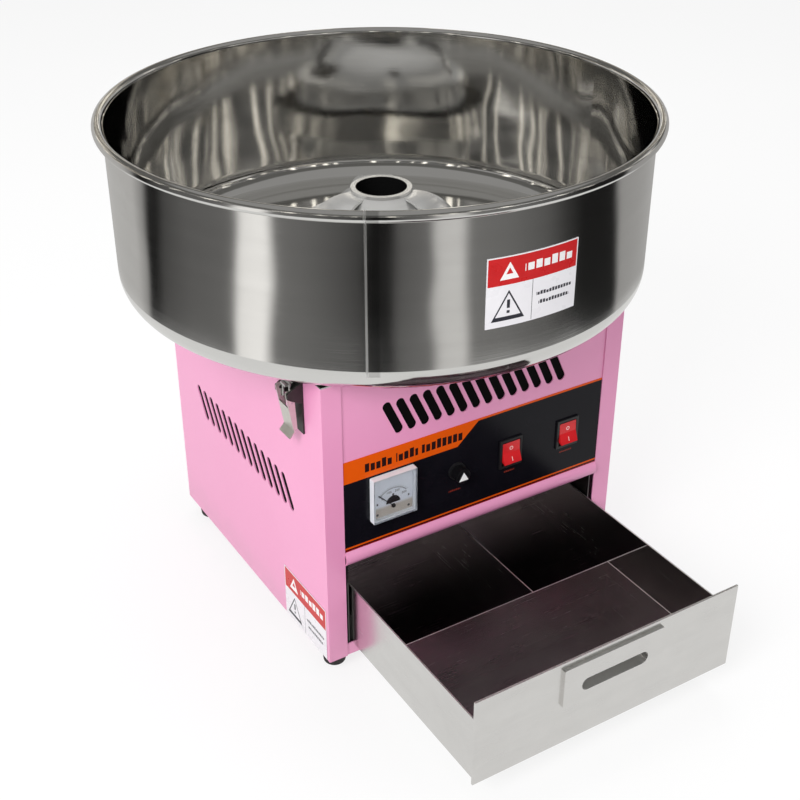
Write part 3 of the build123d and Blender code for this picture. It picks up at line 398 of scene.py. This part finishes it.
def meter_face():
    look = Look("printed dial", Specular_IOR_Level=0.4)
    right, up = look.x - dial_middle.x, look.z - (controls_z - 0.012)
    radius = (right * right + up * up).math("SQRT")
    turn = right.math("ARCTAN2", up)
    span = math.radians(48)
    inside = look.between(turn, -span, span)
    arc = look.between(radius, 0.0183, 0.0188) * inside
    step = span / 6
    nearest = abs((turn / step).math("FRACT") - 0.5)
    ticks = look.between(radius, 0.0188, 0.0212) * (nearest > 0.455)
    ticks = ticks * look.between(turn, -span - 0.02, span + 0.02)
    fine = abs((turn / (step / 4)).math("FRACT") - 0.5)
    ticks = ticks.math("MAXIMUM", look.between(radius, 0.0188, 0.0199) * (fine > 0.40) * inside)
    tone = look.blend(look.noise(look.coords, 60, 3), (0.80, 0.83, 0.92), (0.88, 0.90, 0.97))
    strip = look.noise(look.coords, 90, 3)
    strip = look.blend(strip, (0.50, 0.44, 0.39), (0.66, 0.60, 0.55))
    tone = look.blend(1 - look.climb(look.z, controls_z - 0.013, controls_z - 0.0085), tone, strip)
    ink = arc.math("MAXIMUM", ticks)
    for side in (-0.0165, 0.0165):
        off, rise = right - side, look.z - (controls_z - 0.0176)
        ink = ink.math("MAXIMUM", (off * off + rise * rise).math("SQRT") < 0.0013)
        ink = ink.math("MAXIMUM", look.box(right, look.z, (side, controls_z - 0.0062), 0.0016, 0.0022))
    ink = ink.math("MAXIMUM", look.box(right, look.z, (0, controls_z - 0.0005), 0.0018, 0.0026))
    tone = look.blend(ink * 0.9, tone, (0.02, 0.02, 0.03))
    rough = look.spread(look.noise(look.coords, 80, 2), 0.38, 0.5)
    return look.feed(Base_Color=tone, Roughness=rough)


def meter_cover():
    """Clear in front, and white where its walls are seen edge on."""
    look = shader_only("meter cover")
    wear = look.noise(look.coords, 120, 4, 0.6)
    facing = look.split(look.node("TexCoord", output="Normal"))
    walls = abs(facing[1]) < 0.75
    glass = look.node("BsdfPrincipled", sockets={
        "Base Color": look.blend(wear, (0.95, 0.97, 0.98), (0.98, 0.99, 0.99)),
        "Roughness": look.spread(wear, 0.02, 0.08),
        "Transmission Weight": 1.0,
        "IOR": 1.47,
    })
    white = look.node("BsdfPrincipled", sockets={
        "Base Color": look.blend(wear, (0.78, 0.80, 0.86), (0.88, 0.90, 0.95)),
        "Roughness": look.spread(wear, 0.25, 0.4),
    })
    shown = look.node("MixShader", sockets={0: walls, 1: glass, 2: white})
    look.tree.links.new(shown.socket, look.result)
    return look.owner


def latch_steel():
    """Bright plated levers, a little yellow."""
    look = Look("plated latch", Metallic=0.9)
    drift = look.noise(look.coords, 110, 4, 0.6)
    tone = look.blend(drift, (0.62, 0.59, 0.53), (0.86, 0.84, 0.80))
    grain = look.noise(look.coords, 900, 2)
    normal = look.bump(grain, 0.00004, 0.5)
    return look.feed(Base_Color=tone, Roughness=look.spread(drift, 0.30, 0.48), Normal=normal)


def red_lens():
    look = Look("red rocker", Specular_IOR_Level=0.5, Transmission_Weight=0.1, Emission_Strength=0.14)
    drift = look.noise(look.coords, 90, 3)
    tone = look.blend(drift, (0.46, 0.006, 0.012), (0.62, 0.012, 0.018))
    low, high = controls_z - 0.009, controls_z + 0.010
    glow = look.blend(look.between(look.z, low, high, 0.006), (0.30, 0.0, 0.0), (1.0, 0.03, 0.03))
    # The white rings and bars are I and O marks, placed and sized as painted highlights.
    marks = None
    for rocker in ("heat_rocker", "motor_rocker"):
        off, rise = look.x - middle(rocker).x, look.z - (controls_z + 0.0052)
        ring = look.between((off * off + rise * rise).math("SQRT"), 0.00125, 0.0020)
        ring = ring.math("MAXIMUM", look.box(off, look.z, (0, controls_z - 0.0055), 0.0008, 0.0040))
        marks = ring if marks is None else marks.math("MAXIMUM", ring)
    tone = look.blend(marks * 0.85, tone, (0.85, 0.82, 0.80))
    ribs = look.noise(look.node("Mapping", sockets={"Vector": look.coords, "Scale": (10, 10, 500)}), 1, 2)
    rough, normal = look.spread(drift, 0.10, 0.22), look.bump(ribs, 0.00004, 0.4)
    return look.feed(Base_Color=tone, Emission_Color=glow, Roughness=rough, Normal=normal)


def fuse_cap_glint():
    """Black plastic with a painted highlight on its face: a plain white triangle."""
    look = Look("fuse cap painted highlight", Specular_IOR_Level=0.15)
    drift = look.noise(look.coords, 60, 4, 0.6)
    tone = look.blend(drift, (0.003, 0.003, 0.004), (0.007, 0.007, 0.008))
    centre = middle("fuse_cap")
    face = look.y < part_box("fuse_cap")[0].y + 0.0004
    # Painted highlight: a plain white triangle on the cap's face.
    mark = triangle(look, look.x, look.z, (centre.x, centre.z), 0.0105) * face
    tone = look.blend(mark, tone, (0.88, 0.88, 0.88))
    normal = look.bump(look.noise(look.coords, 700, 2), 0.00003, 0.5)
    return look.feed(Base_Color=tone, Roughness=look.spread(drift, 0.28, 0.42), Normal=normal)


def painted_vent_shade():
    """Near-black sheet with a fine grid, hung behind the vent slots as painted shade."""
    look = Look("painted vent shade", Specular_IOR_Level=0.1)
    shade_grid = None
    for part in (look.x, look.y, look.z):
        wave = abs((part * 900).math("FRACT") - 0.5)
        shade_grid = wave if shade_grid is None else shade_grid.math("MAXIMUM", wave)
    tone = look.blend(shade_grid, (0.0015, 0.0015, 0.0015), (0.006, 0.006, 0.006))
    normal = look.bump(shade_grid, 0.0001, 0.5)
    return look.feed(Base_Color=tone, Roughness=look.spread(shade_grid, 0.7, 0.9), Normal=normal)


def top_plate_steel():
    """The deck under the bowl: polished, and dark with soot and shade at its middle."""
    look = Look("deck steel", Metallic=1.0)
    angle, radius, around = turned(look)
    smear = look.noise(look.coords, 40, 4, 0.6)
    tone = look.blend(smear, (0.60, 0.59, 0.57), (0.74, 0.73, 0.71))
    dark = look.between(radius, -1, 0.104, 0.006)
    tone = look.blend(dark, tone, (0.045, 0.044, 0.043))
    normal = look.bump(smear, 0.00004, 0.4)
    return look.feed(Base_Color=tone, Roughness=look.spread(smear, 0.15, 0.3), Normal=normal)


def clear(name, tint, rough):
    look = Look(name, Transmission_Weight=1.0, IOR=1.47)
    wear = look.noise(look.coords, 120, 4, 0.6)
    tone = look.blend(wear, tint, (0.97, 0.98, 0.98))
    return look.feed(Base_Color=tone, Roughness=look.spread(wear, *rough))


finishes = {
    "pink_paint": pink_paint(),
    "polished_steel": polished_steel(),
    "satin_steel": satin_steel(
        "satin stainless steel", (0.74, 0.725, 0.71), (0.84, 0.83, 0.815), (0.16, 0.30)
    ),
    "zinc_steel": grained("zinc plate", (0.50, 0.50, 0.49), (0.74, 0.74, 0.72), (0.22, 0.42), metallic=1.0),
    "dark_steel": grained(
        "black oxide steel", (0.028, 0.027, 0.027), (0.085, 0.080, 0.075), (0.28, 0.5), metallic=0.8
    ),
    "polished_aluminium": polished_aluminium(),
    "motor_enamel": grained(
        "grey enamel", (0.020, 0.023, 0.028), (0.045, 0.050, 0.058), (0.3, 0.45), scale=30
    ),
    "black_rubber": grained(
        "black rubber", (0.010, 0.010, 0.010), (0.030, 0.029, 0.028), (0.62, 0.85), relief=0.00012
    ),
    "black_plastic": grained(
        "black moulded plastic", (0.007, 0.007, 0.008), (0.018, 0.018, 0.020), (0.30, 0.46)
    ),
    "overlay_film": overlay_film(),
    "clear_plastic": clear("clear plastic", (0.95, 0.97, 0.97), (0.02, 0.08)),
    "white_dial": meter_face(),
    "red_lens": red_lens(),
    "slip_brass": grained("turned brass", (0.55, 0.34, 0.10), (0.80, 0.56, 0.24), (0.2, 0.35), metallic=1.0),
    "brown_phenolic": grained("brown phenolic", (0.050, 0.020, 0.010), (0.100, 0.045, 0.022), (0.35, 0.5)),
    "carbon": grained("pressed carbon", (0.012, 0.012, 0.012), (0.035, 0.034, 0.033), (0.45, 0.65)),
    "white_ceramic": grained("white ceramic", (0.70, 0.68, 0.62), (0.84, 0.83, 0.79), (0.3, 0.5)),
    "heater_steel": grained(
        "heat tinted steel", (0.16, 0.12, 0.10), (0.38, 0.32, 0.27), (0.3, 0.5), metallic=1.0
    ),
    "fuse_glass": clear("fuse glass", (0.93, 0.96, 0.95), (0.01, 0.05)),
}

shaded_steel = satin_steel("shaded steel", (0.10, 0.098, 0.096), (0.17, 0.165, 0.16), (0.3, 0.45))
own_finishes = {
    "fuse_cap": fuse_cap_glint(),
    "meter_window": meter_cover(),
    "top_plate": top_plate_steel(),
    "drawer_bay": shaded_steel,
    "drawer_runners": shaded_steel,
}
plated = latch_steel()
for part in frame["record"]["subparts"]:
    if part["node"].startswith("latch_lever"):
        own_finishes[part["node"]] = plated
    node = frame["nodes"][part["node"]]
    node.data.materials.clear()
    node.data.materials.append(own_finishes.get(part["node"], finishes[part["material_slot"]]))


# ======== New pieces ========

def finish_piece(name, mesh, material, body):
    """Make an object of a bmesh, give it its finish and put it on its body."""
    bmesh.ops.recalc_face_normals(mesh, faces=mesh.faces)
    data = bpy.data.meshes.new(name)
    mesh.to_mesh(data)
    mesh.free()
    piece = bpy.data.objects.new(name, data)
    bpy.context.scene.collection.objects.link(piece)
    data.materials.append(material)
    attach(piece, body)
    return piece


def quarter_turn(axis):
    return Matrix.Rotation(math.radians(90), 4, axis)


def cut_away(mesh, normal):
    """Cut a mesh by a plane through its middle and drop the side that the normal points to."""
    whole = [*mesh.verts, *mesh.edges, *mesh.faces]
    return bmesh.ops.bisect_plane(mesh, geom=whole, plane_co=(0, 0, 0), plane_no=normal, clear_outer=True)


def raise_sheet(mesh, height):
    """Give a flat sheet a thickness, upwards."""
    raised = bmesh.ops.extrude_face_region(mesh, geom=mesh.faces[:])
    top = [item for item in raised["geom"] if isinstance(item, bmesh.types.BMVert)]
    bmesh.ops.translate(mesh, vec=(0, 0, height), verts=top)


def stand_on_dial(mesh, centre_z):
    """Turn a flat mesh to face the front and put it on the dial."""
    place = Matrix.Translation((dial_middle.x, dial_low.y - 0.00002, centre_z))
    bmesh.ops.transform(mesh, matrix=place @ quarter_turn("X"), verts=mesh.verts)


def bowl_label():
    """Label bent to the bowl's wall, in front."""
    low, high, left, right = 0.3738, 0.4358, -0.051, 0.037
    radius = wall_radius + 0.0002
    first, last = (-math.acos(edge / radius) for edge in (left, right))
    sheet = bmesh.new()
    corner = Vector((radius * math.cos(first), axis_y + radius * math.sin(first), 0))
    ends = [sheet.verts.new((corner.x, corner.y, z)) for z in (low, high)]
    edge = sheet.edges.new(ends)
    centre, upward = (0, axis_y, 0), (0, 0, 1)
    bmesh.ops.spin(sheet, geom=[*ends, edge], cent=centre, axis=upward, angle=last - first, steps=24)
    bmesh.ops.solidify(sheet, geom=sheet.faces[:], thickness=0.00012)
    centre_angle, centre_z = (first + last) / 2, (low + high) / 2

    def plane(look):
        angle = (look.y - axis_y).math("ARCTAN2", look.x)
        return (angle - centre_angle) * radius, look.z - centre_z

    material = printed_label("bowl label print", plane, (last - first) * radius, high - low, 0.025)
    return finish_piece("bowl_label", sheet, material, "cabinet")


def side_label():
    """Label low on the left side panel, near the front."""
    low, high = 0.018 + 0.0004, 0.077
    front, back = panel_low.y + 0.0048, panel_low.y + 0.0878
    sheet = bmesh.new()
    bmesh.ops.create_grid(sheet, x_segments=8, y_segments=8, size=0.5)
    place = Matrix.Translation((panel_low.x - 0.0002, (front + back) / 2, (low + high) / 2))
    size = Matrix.Diagonal((back - front, high - low, 1, 1))
    bmesh.ops.transform(sheet, matrix=place @ quarter_turn("Z") @ quarter_turn("X") @ size, verts=sheet.verts)
    bmesh.ops.solidify(sheet, geom=sheet.faces[:], thickness=0.00012)
    centre_y, centre_z = (front + back) / 2, (low + high) / 2

    def plane(look):
        return centre_y - look.y, look.z - centre_z

    material = printed_label("side label print", plane, back - front, high - low, 0.024)
    return finish_piece("side_label", sheet, material, "cabinet")


def movement_cover():
    """Black half-round cover over the meter's movement, low on the dial."""
    cover = bmesh.new()
    bmesh.ops.create_circle(cover, cap_ends=True, segments=40, radius=0.0074)
    cut_away(cover, (0, -1, 0))
    raise_sheet(cover, 0.0003)
    stand_on_dial(cover, controls_z - 0.0089)
    return finish_piece("meter_movement_cover", cover, finishes["black_plastic"], "cabinet")


def meter_surround():
    """White frame inside the meter's clear cover, around the dial."""
    frame_mesh = bmesh.new()
    bmesh.ops.create_grid(frame_mesh, x_segments=1, y_segments=1, size=0.5)
    size = Matrix.Diagonal((dial_high.x - dial_low.x, dial_high.z - dial_low.z, 1, 1))
    bmesh.ops.transform(frame_mesh, matrix=size, verts=frame_mesh.verts)
    whole = frame_mesh.faces[:]
    bmesh.ops.inset_region(frame_mesh, faces=whole, thickness=0.0012, use_boundary=True, use_even_offset=True)
    inner = [face for face in frame_mesh.faces if face.calc_center_median().length < 0.001]
    bmesh.ops.delete(frame_mesh, geom=inner, context="FACES")
    raise_sheet(frame_mesh, 0.0036)
    stand_on_dial(frame_mesh, dial_middle.z)
    enamel = grained("white moulding", (0.80, 0.82, 0.88), (0.90, 0.92, 0.96), (0.3, 0.45))
    return finish_piece("meter_surround", frame_mesh, enamel, "cabinet")


def vent_shade_sheets():
    """Near-black sheets just inside the slots of the four walls: painted shade for the cabinet's inside."""
    vent_shade_look = painted_vent_shade()
    front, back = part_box("front_panel")[1].y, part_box("back_panel")[0].y
    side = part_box("back_panel")[1].x
    walls = (
        ("front", (0, front + 0.0002, 0.2655), (0.230, 0.046), 0),
        ("back", (0, back - 0.0003, 0.2655), (0.230, 0.046), 0),
        ("left", (-side + 0.0002, 0.05, 0.1715), (0.290, 0.042), 90),
        ("right", (side - 0.0003, 0.05, 0.1715), (0.290, 0.042), 90),
    )
    for name, place, size, turn in walls:
        shade_sheet = bmesh.new()
        bmesh.ops.create_grid(shade_sheet, x_segments=12, y_segments=4, size=0.5)
        upright = Matrix.Rotation(math.radians(turn), 4, "Z") @ quarter_turn("X")
        shape = Matrix.Translation(place) @ upright @ Matrix.Diagonal((*size, 1, 1))
        bmesh.ops.transform(shade_sheet, matrix=shape, verts=shade_sheet.verts)
        bmesh.ops.solidify(shade_sheet, geom=shade_sheet.faces[:], thickness=0.0001)
        finish_piece(f"vent_shade_sheet_{name}", shade_sheet, vent_shade_look, "cabinet")


def dial_numbers():
    """Plain scale numbers on the dial."""
    pivot = Vector((dial_middle.x, controls_z - 0.012))
    ink = grained("printing ink", (0.010, 0.010, 0.010), (0.025, 0.025, 0.028), (0.4, 0.55))
    for step, number in enumerate(("0", "100", "200", "300")):
        angle = math.radians(-48 + 32 * step)
        words = bpy.data.curves.new("scale", "FONT")
        words.body, words.size, words.align_x, words.align_y = number, 0.0034, "CENTER", "CENTER"
        words.extrude, words.resolution_u = 0.00003, 2
        writer = bpy.data.objects.new("scale", words)
        bpy.context.scene.collection.objects.link(writer)
        data = bpy.data.meshes.new_from_object(writer.evaluated_get(bpy.context.evaluated_depsgraph_get()))
        bpy.data.objects.remove(writer)
        letters = bmesh.new()
        letters.from_mesh(data)
        bmesh.ops.remove_doubles(letters, verts=letters.verts, dist=0.000001)
        reach = 0.0155
        spot = (pivot.x + reach * math.sin(angle), dial_low.y - 0.00006, pivot.y + reach * math.cos(angle))
        turn = Matrix.Translation(spot) @ quarter_turn("X")
        bmesh.ops.transform(letters, matrix=turn, verts=letters.verts)
        finish_piece(f"scale_number_{number}", letters, ink, "cabinet")


bowl_label()
side_label()
movement_cover()
meter_surround()
dial_numbers()
vent_shade_sheets()


# ======== Stage: floor, reflected surroundings, lamps, camera ========

def stage_object(name, mesh, material):
    data = bpy.data.meshes.new(name)
    mesh.to_mesh(data)
    mesh.free()
    item = bpy.data.objects.new(name, data)
    bpy.context.scene.collection.objects.link(item)
    data.materials.append(material)
    return item


def pale_floor():
    look = shader_only("pale floor")
    mottle = look.noise(look.coords, 3, 2)
    pale = look.blend(mottle, (0.90, 0.90, 0.90), (0.93, 0.93, 0.93))
    matt = look.node("BsdfDiffuse", sockets={"Color": pale})
    glow = look.node("Emission", sockets={"Color": (1, 1, 1, 1), "Strength": 1.0})
    seen = look.node("MixShader", sockets={0: 0.22, 1: glow, 2: matt})
    camera_ray = look.node("LightPath", output="Is Camera Ray")
    shown = look.node("MixShader", sockets={0: camera_ray, 1: matt, 2: seen})
    look.tree.links.new(shown.socket, look.result)
    floor = bmesh.new()
    bmesh.ops.create_circle(floor, cap_ends=True, segments=64, radius=14)
    return stage_object("floor", floor, look.owner)


# The studio around the machine as its polish shows it: (bearing from the spin axis in degrees, brightness).
surroundings = (
    (-180, 0.14), (-176.5, 0.17), (-174, 0.95), (-163, 1.05), (-159, 0.17), (-150, 0.15), (-134, 0.09),
    (-126, 0.055), (-124, 0.010), (-117, 0.010), (-114, 0.11), (-104, 0.15), (-101, 0.62), (-93, 0.66),
    (-89.5, 0.19), (-76, 0.17), (-58, 0.11), (-48, 0.045), (-40, 0.013), (-20, 0.013), (-16, 0.34),
    (30, 0.42), (84, 0.50), (128, 0.50), (136, 0.30), (139, 0.012), (144, 0.012), (149, 0.07),
    (162, 0.12), (180, 0.14),
)


# What the inside of the bowl shows of the studio, at three heights: (bearing in degrees, brightness).
upper_surroundings = (
    (1.33, (
        (-180, 0.21), (-92, 0.21), (-84, 1.15), (-70, 1.35), (-52, 1.15), (-44, 0.06), (24, 0.05),
        (31, 0.24), (44, 0.22), (52, 0.11), (90, 0.12), (97, 0.45), (134, 0.45), (142, 0.14),
        (180, 0.21),
    )),
    (1.50, (
        (-180, 0.10), (-162, 0.06), (-98, 0.06), (-92, 0.09), (18, 0.08), (26, 0.25), (42, 0.24),
        (48, 0.33), (104, 0.31), (112, 0.10), (118, 0.055), (158, 0.06), (166, 0.10), (180, 0.10),
    )),
    (1.66, (
        (-180, 0.37), (-166, 0.35), (-160, 0.17), (-92, 0.17), (-86, 0.42), (-76, 0.14), (-54, 0.15),
        (-45, 0.20), (-10, 0.22), (4, 0.58), (16, 0.56), (25, 0.09), (38, 0.09), (50, 0.46), (72, 0.44),
        (78, 0.27), (96, 0.26), (102, 0.08), (120, 0.08), (126, 0.36), (132, 0.34), (137, 0.045),
        (156, 0.05), (170, 0.32), (180, 0.37),
    )),
)


def studio_surround():
    look = shader_only("studio surround")
    angle, radius, around = turned(look)
    bearing_share = angle / (2 * math.pi) + 0.5

    def all_round(levels):
        stops = []
        for bearing, level in levels:
            warm = 0.09 if 20 < bearing < 140 and levels is not surroundings else 0.015
            stops.append(((bearing + 180) / 360, (level, level * (1 - warm), level * (1 - warm * 2.6))))
        return look.ramp(bearing_share, *stops)

    seen = all_round(surroundings)
    table = look.between(radius, -1, 0.80, 0.05) * look.between(look.z, -1, 0.01)
    seen = look.blend(table, seen, (0.76, 0.76, 0.75))
    last = 1.10
    for height, levels in upper_surroundings:
        seen = look.blend(look.climb(look.z, last, height), seen, all_round(levels))
        last = height
    # Narrow tall windows and fittings give the streaks.
    slots = look.node("TexNoise", {"noise_dimensions": "1D"}, {"W": angle, "Scale": 14, "Detail": 2})
    streaks = look.between(slots, 0.62, 2, 0.012) * look.between(look.z, 1.15, 1.9, 0.05)
    seen = look.blend(streaks * 0.9, seen, (2.2, 2.1, 1.9))
    seen = look.blend(look.climb(look.z, 1.72, 1.95), seen, (0.12, 0.118, 0.112))
    seen = look.blend(look.climb(look.z, 2.50, 2.66), seen, (0.30, 0.297, 0.29))
    glow = look.node("Emission", sockets={"Color": seen, "Strength": 1.0})
    look.tree.links.new(glow.socket, look.result)
    shell = bmesh.new()
    bmesh.ops.create_uvsphere(shell, u_segments=64, v_segments=32, radius=3.4)
    cut = cut_away(shell, (0, 0, -1))
    hem = [item for item in cut["geom_cut"] if isinstance(item, bmesh.types.BMEdge)]
    bmesh.ops.holes_fill(shell, edges=hem)
    bmesh.ops.translate(shell, vec=(0, axis_y, 0.0003), verts=shell.verts)
    surround = stage_object("studio_surround", shell, look.owner)
    surround.visible_camera = surround.visible_diffuse = surround.visible_transmission = False
    surround.visible_shadow = surround.visible_volume_scatter = False
    return surround


def plain_world():
    world = bpy.data.worlds.new("studio air")
    bpy.context.scene.world = world
    look = Look("studio air", world)
    path = look.node("LightPath").socket.node.outputs
    seen = Value(look, path["Is Camera Ray"])
    for ray in ("Is Glossy Ray", "Is Transmission Ray"):
        seen = seen.math("MAXIMUM", Value(look, path[ray]))
    background = look.tree.nodes["Background"]
    background.inputs["Color"].default_value = (1, 1, 1, 1)
    look.tree.links.new((seen * 0.5 + 0.5).socket, background.inputs["Strength"])


def lamp(name, place, target, size, power, colour=(1, 1, 1), shows=False):
    data = bpy.data.lights.new(name, "AREA")
    data.shape, data.size, data.size_y = "RECTANGLE", size[0], size[1]
    data.energy, data.color = power, colour
    item = bpy.data.objects.new(name, data)
    bpy.context.scene.collection.objects.link(item)
    direction = Vector(target) - Vector(place)
    item.matrix_world = Matrix.Translation(place) @ direction.to_track_quat("-Z", "Y").to_matrix().to_4x4()
    item.visible_glossy = shows
    return item


def camera():
    data = bpy.data.cameras.new("camera")
    data.sensor_width, data.lens = 36.0, 59.35
    data.clip_start, data.clip_end = 0.02, 60
    item = bpy.data.objects.new("camera", data)
    bpy.context.scene.collection.objects.link(item)
    bearing, tilt = math.radians(-31.6), math.radians(30.8)
    item.matrix_world = (
        Matrix.Translation((-0.5997, -0.94765, 0.8672))
        @ Matrix.Rotation(bearing, 4, "Z")
        @ Matrix.Rotation(math.radians(90) - tilt, 4, "X")
    )
    bpy.context.scene.camera = item


pale_floor()
studio_surround()
plain_world()
lamp("key", (-2.1, -1.2, 2.0), (0, 0, 0.2), (1.2, 1.2), 60)
lamp("fill", (1.6, -2.2, 1.8), (0, 0, 0.2), (1.4, 1.4), 6)
lamp("over", (0.2, 0.6, 2.6), (0, 0.1, 0.3), (1.6, 1.6), 26)
camera()
bpy.context.scene.view_settings.view_transform = "Standard"

bpy.context.view_layer.update()
